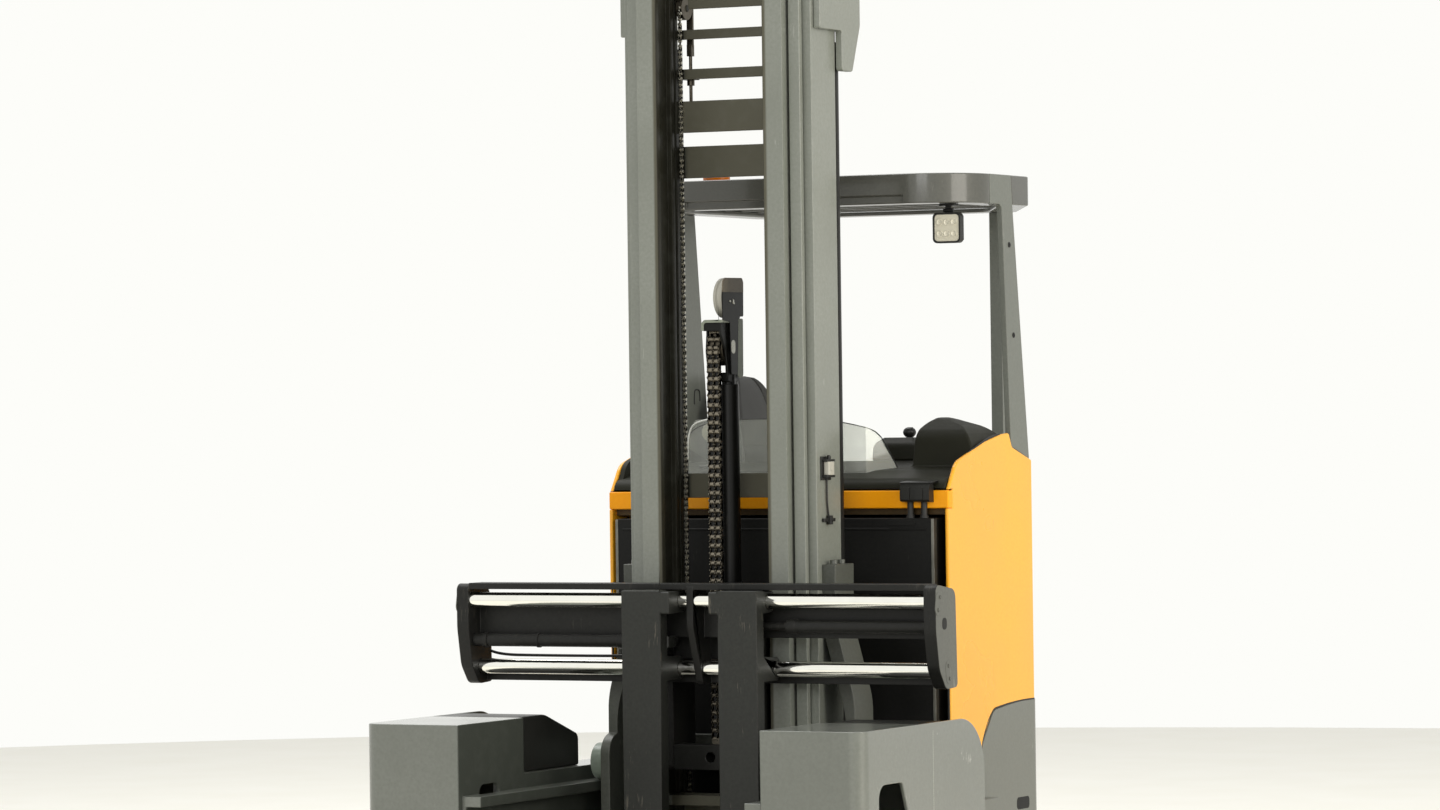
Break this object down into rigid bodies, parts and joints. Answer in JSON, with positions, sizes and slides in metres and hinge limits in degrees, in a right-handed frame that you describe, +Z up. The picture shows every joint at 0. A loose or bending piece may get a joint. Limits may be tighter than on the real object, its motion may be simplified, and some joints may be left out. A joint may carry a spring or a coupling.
{
  "type": "four-way reach truck",
  "caption": "Sit-on reach truck with support legs, three-stage mast on a reach carriage, shaft-type fork carriage and overhead guard.",
  "frame": {"origin": "on the floor, at the centre of the whole truck from fork tips to rear", "axes": "+Z up, +Y to the rear of the truck (forks point along -Y), +X towards the operator entry side"},
  "size_m": [1.573, 2.835, 2.8],
  "materials": {
    "frame_grey": "satin grey paint on steel",
    "body_yellow": "gloss yellow paint",
    "mast_grey": "satin grey paint on rolled steel",
    "carriage_black": "satin black paint",
    "chrome_bar": "hard chrome",
    "dark_steel": "oiled steel",
    "moulded_black": "grained moulded plastic",
    "battery_dark": "matt dark paint",
    "polyurethane": "cast polyurethane",
    "seat_black": "black seat cover",
    "guard_dark": "dark grey paint",
    "clear_screen": "clear polycarbonate",
    "amber_lens": "amber lens on a black base",
    "pulley_grey": "cast polyamide",
    "lamp": "clear lens in a black housing"
  },
  "bodies": {
    "chassis": {"battery": "battery_dark", "battery_plug": "moulded_black", "battery_shelf": "battery_dark", "beacon": "amber_lens", "chassis_frame": "frame_grey", "control_console": "moulded_black", "dash_cover": "moulded_black", "drive_hood": "body_yellow", "front_band": "body_yellow", "front_screen": "clear_screen", "guard_post_left": "guard_dark", "guard_post_right": "guard_dark", "joystick": "moulded_black", "leg_left": "frame_grey", "leg_right": "frame_grey", "rear_post_left": "guard_dark", "rear_post_right": "guard_dark", "roof_bars": "guard_dark", "roof_frame": "guard_dark", "seat_back": "seat_black", "seat_box": "moulded_black", "seat_cushion": "seat_black", "side_panel_left": "body_yellow", "side_panel_right": "body_yellow", "steering_console": "moulded_black", "swivel_cover_left": "moulded_black", "swivel_cover_right": "moulded_black", "work_lamp": "lamp"},
    "slide_carriage": {"carriage_chain": "dark_steel", "lift_carriage": "carriage_black"},
    "reach_frame": {"chain_anchors": "dark_steel", "head_covers": "mast_grey", "lift_cylinders": "carriage_black", "outer_mast": "mast_grey", "reach_carriage": "mast_grey", "reach_rollers": "dark_steel"},
    "drive_steer": {"drive_unit": "dark_steel"},
    "drive_roller": {"drive_wheel": "polyurethane"},
    "fork_frame": {"fork_bars": "chrome_bar", "fork_carriage": "carriage_black", "shift_cylinders": "carriage_black"},
    "fork_arm_left": {"fork_left": "carriage_black", "shift_rod_left": "chrome_bar"},
    "fork_arm_right": {"fork_right": "carriage_black", "shift_rod_right": "chrome_bar"},
    "inner_stage": {"free_lift_cylinder": "carriage_black", "inner_mast": "mast_grey", "mast_chains": "dark_steel"},
    "free_rod": {"free_lift_pulley": "dark_steel", "free_lift_rod": "carriage_black", "hose_pulley": "pulley_grey"},
    "middle_stage": {"lift_rods": "chrome_bar", "mast_pulleys": "dark_steel", "middle_mast": "mast_grey"},
    "load_roller_left": {"load_wheel_left": "polyurethane"},
    "load_roller_right": {"load_wheel_right": "polyurethane"},
    "load_swivel_left": {"load_yoke_left": "dark_steel"},
    "load_swivel_right": {"load_yoke_right": "dark_steel"},
    "steering": {"steering_wheel": "moulded_black"}
  },
  "joints": [
    {"name": "load_steer_left", "type": "hinge", "parent": "chassis", "child": "load_swivel_left", "pos_m": [-0.63075, -0.5425, 0.3], "axis": [0, 0, 1], "range_deg": [-90, 90]},
    {"name": "load_roll_left", "type": "hinge", "parent": "load_swivel_left", "child": "load_roller_left", "pos_m": [-0.63075, -0.5425, 0.125], "axis": [1, 0, 0], "continuous": true},
    {"name": "load_steer_right", "type": "hinge", "parent": "chassis", "child": "load_swivel_right", "pos_m": [0.63075, -0.5425, 0.3], "axis": [0, 0, 1], "range_deg": [-90, 90]},
    {"name": "load_roll_right", "type": "hinge", "parent": "load_swivel_right", "child": "load_roller_right", "pos_m": [0.63075, -0.5425, 0.125], "axis": [1, 0, 0], "continuous": true},
    {"name": "drive_steering", "type": "hinge", "parent": "chassis", "child": "drive_steer", "pos_m": [-0.16, 1.0975, 0.4], "axis": [0, 0, 1], "range_deg": [-90, 90]},
    {"name": "drive_roll", "type": "hinge", "parent": "drive_steer", "child": "drive_roller", "pos_m": [-0.16, 1.0975, 0.1715], "axis": [1, 0, 0], "continuous": true},
    {"name": "steering_turn", "type": "hinge", "parent": "chassis", "child": "steering", "pos_m": [0.14, 1.2525, 1.13], "axis": [0, 0, 1], "continuous": true},
    {"name": "mast_reach", "type": "slide", "parent": "chassis", "child": "reach_frame", "axis": [0, -1, 0], "range_m": [0, 0.55]},
    {"name": "mast_lift", "type": "slide", "parent": "reach_frame", "child": "middle_stage", "axis": [0, 0, 1], "range_m": [0, 1.9]},
    {"name": "inner_lift", "type": "slide", "parent": "middle_stage", "child": "inner_stage", "axis": [0, 0, 1], "range_m": [0, 1.9], "deforming": ["mast_chains"]},
    {"name": "free_lift", "type": "slide", "parent": "inner_stage", "child": "slide_carriage", "axis": [0, 0, 1], "range_m": [0, 1.66], "deforming": ["carriage_chain"]},
    {"name": "free_lift_ram", "type": "slide", "parent": "inner_stage", "child": "free_rod", "axis": [0, 0, 1], "range_m": [0, 0.83]},
    {"name": "fork_tilt", "type": "hinge", "parent": "slide_carriage", "child": "fork_frame", "pos_m": [0, -0.0985, 0.89], "axis": [-1, 0, 0], "range_deg": [-1, 3]},
    {"name": "fork_shift_left", "type": "slide", "parent": "fork_frame", "child": "fork_arm_left", "axis": [-1, 0, 0], "range_m": [-0.02, 0.13]},
    {"name": "fork_shift_right", "type": "slide", "parent": "fork_frame", "child": "fork_arm_right", "axis": [1, 0, 0], "range_m": [-0.06, 0.13]}
  ],
  "couplings": [
    {"joint": "inner_lift", "follows": "mast_lift", "ratio": 1},
    {"joint": "free_lift_ram", "follows": "free_lift", "ratio": 0.5}
  ]
}
